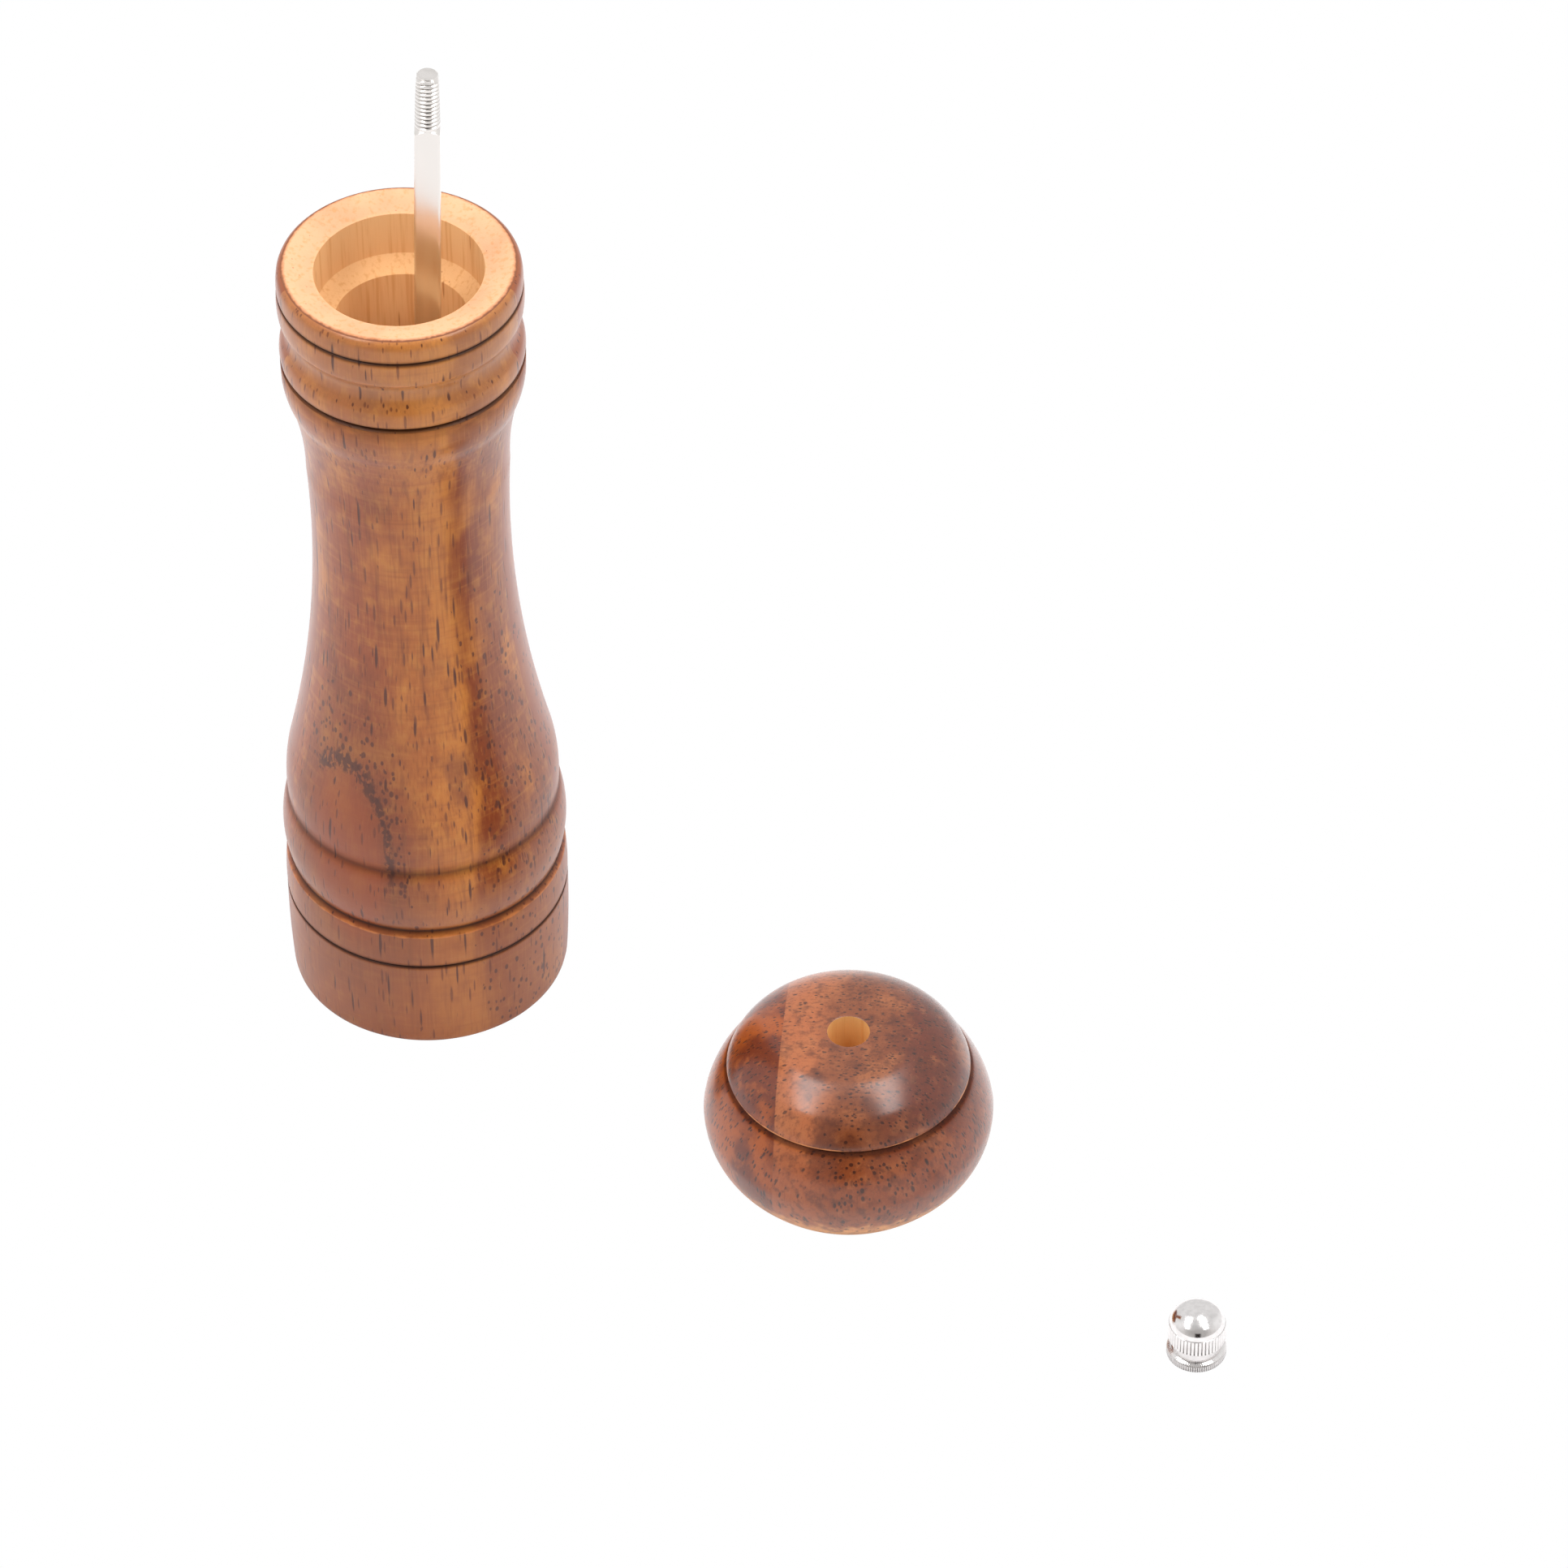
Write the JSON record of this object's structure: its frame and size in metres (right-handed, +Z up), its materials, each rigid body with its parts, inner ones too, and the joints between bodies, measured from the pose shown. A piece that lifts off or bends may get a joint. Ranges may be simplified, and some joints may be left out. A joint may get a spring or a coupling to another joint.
{
  "type": "pepper mill",
  "caption": "Tall turned wooden pepper mill taken apart for filling: waisted body with its bare square spindle, loose round head and ribbed domed nut beside it.",
  "frame": {"origin": "on the axis of the wooden body, at the surface that it stands on", "axes": "+Z up along the body's axis; the loose head and nut stand towards +X and -Y"},
  "size_m": [0.2031, 0.1607, 0.2504],
  "materials": {
    "stained_wood": "turned hardwood, brown stain under semi-gloss lacquer; bare inside",
    "satin_steel": "drawn square bar, bright satin",
    "chromed_zinc": "polished and chromed",
    "grinder_steel": "hardened sintered steel, dull",
    "plated_strip": "zinc-plated pressed strip",
    "spring_wire": "bright spring steel",
    "washer_steel": "zinc-plated pressed washer",
    "nylon_bush": "natural nylon",
    "screw_steel": "zinc-plated wood screw"
  },
  "bodies": {
    "body": {"mill_body": "stained_wood", "stator": "grinder_steel", "guide_bridge": "plated_strip", "spring_upper_washer": "washer_steel", "spring": "spring_wire", "bottom_bracket": "plated_strip", "bracket_bush": "nylon_bush", "bracket_screw_left": "screw_steel", "bracket_screw_right": "screw_steel", "stator_screw_front": "screw_steel", "stator_screw_back": "screw_steel"},
    "thrust": {"spring_lower_washer": "washer_steel"},
    "grinder": {"rotor": "grinder_steel", "retaining_clip": "spring_wire"},
    "spindle": {"spindle": "satin_steel"},
    "head": {"head": "stained_wood", "driver_plate": "plated_strip", "driver_screw_left": "screw_steel", "driver_screw_right": "screw_steel"},
    "nut": {"adjusting_nut": "chromed_zinc"}
  },
  "joints": [
    {"name": "grind_adjust", "type": "slide", "parent": "body", "child": "thrust", "axis": [0, 0, 1], "range_m": [0, 0.0012], "stiffness_N_per_m": 600, "springref_m": -0.004, "deforming": ["spring"]},
    {"name": "grind_turn", "type": "hinge", "parent": "thrust", "child": "grinder", "pos_m": [0, 0, 0.012], "axis": [0, 0, 1], "continuous": true},
    {"name": "spindle_lean", "type": "hinge", "parent": "grinder", "child": "spindle", "pos_m": [0, 0, 0.012], "axis": [0, -1, 0], "range_deg": [0, 3.66]},
    {"name": "head_lift", "type": "slide", "parent": "body", "child": "head", "axis": [0, 0, 1], "range_m": [0, 0.1]},
    {"name": "nut_lift", "type": "slide", "parent": "body", "child": "nut", "axis": [0, 0, 1], "range_m": [0, 0.05]}
  ]
}
